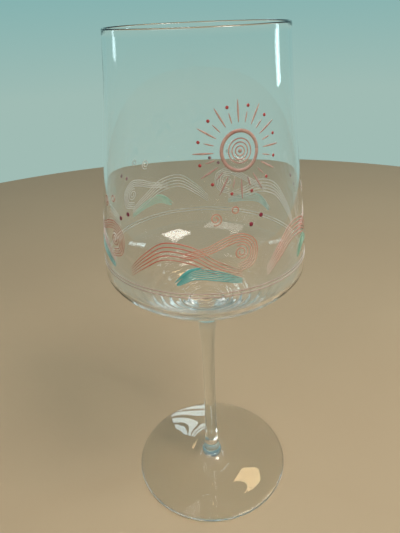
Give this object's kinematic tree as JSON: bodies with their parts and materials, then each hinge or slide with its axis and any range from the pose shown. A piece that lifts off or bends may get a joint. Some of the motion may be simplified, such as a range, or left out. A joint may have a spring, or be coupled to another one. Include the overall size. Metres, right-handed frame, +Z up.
{
  "type": "wine glass",
  "caption": "Stemmed wine glass with a tall tapered bowl, slim solid stem, round foot and a plain printed sun and a repeated wave band round the bowl.",
  "frame": {"origin": "centre of the flat ring under the foot, on the surface that the glass stands on", "axes": "+Z up along the stem, towards the mouth; the printed sun faces -Y"},
  "size_m": [0.088, 0.088, 0.225],
  "materials": {
    "clear_glass": "clear polished",
    "enamel_rose": "fired enamel, satin",
    "enamel_cream": "fired enamel, satin",
    "enamel_red": "fired enamel, satin",
    "enamel_maroon": "fired enamel, satin",
    "enamel_teal": "fired enamel, satin",
    "enamel_green": "fired enamel, satin"
  },
  "bodies": {
    "root": {"bowl": "clear_glass", "curl_1": "enamel_rose", "curl_2": "enamel_rose", "curl_3": "enamel_rose", "curl_4": "enamel_rose", "curl_5": "enamel_rose", "foot": "clear_glass", "green_leaf_2": "enamel_green", "green_leaf_4": "enamel_green", "spray_rings": "enamel_rose", "spray_spirals": "enamel_rose", "spray_spots": "enamel_maroon", "stem": "clear_glass", "sun_disc": "enamel_cream", "sun_long_rays": "enamel_cream", "sun_ring": "enamel_cream", "sun_short_rays": "enamel_cream", "sun_sparks": "enamel_red", "swell_1": "enamel_rose", "swell_2": "enamel_rose", "swell_3": "enamel_rose", "swell_4": "enamel_rose", "swell_5": "enamel_rose", "teal_leaf_1": "enamel_teal", "teal_leaf_3": "enamel_teal", "teal_leaf_5": "enamel_teal", "tide_line": "enamel_cream"}
  },
  "joints": []
}
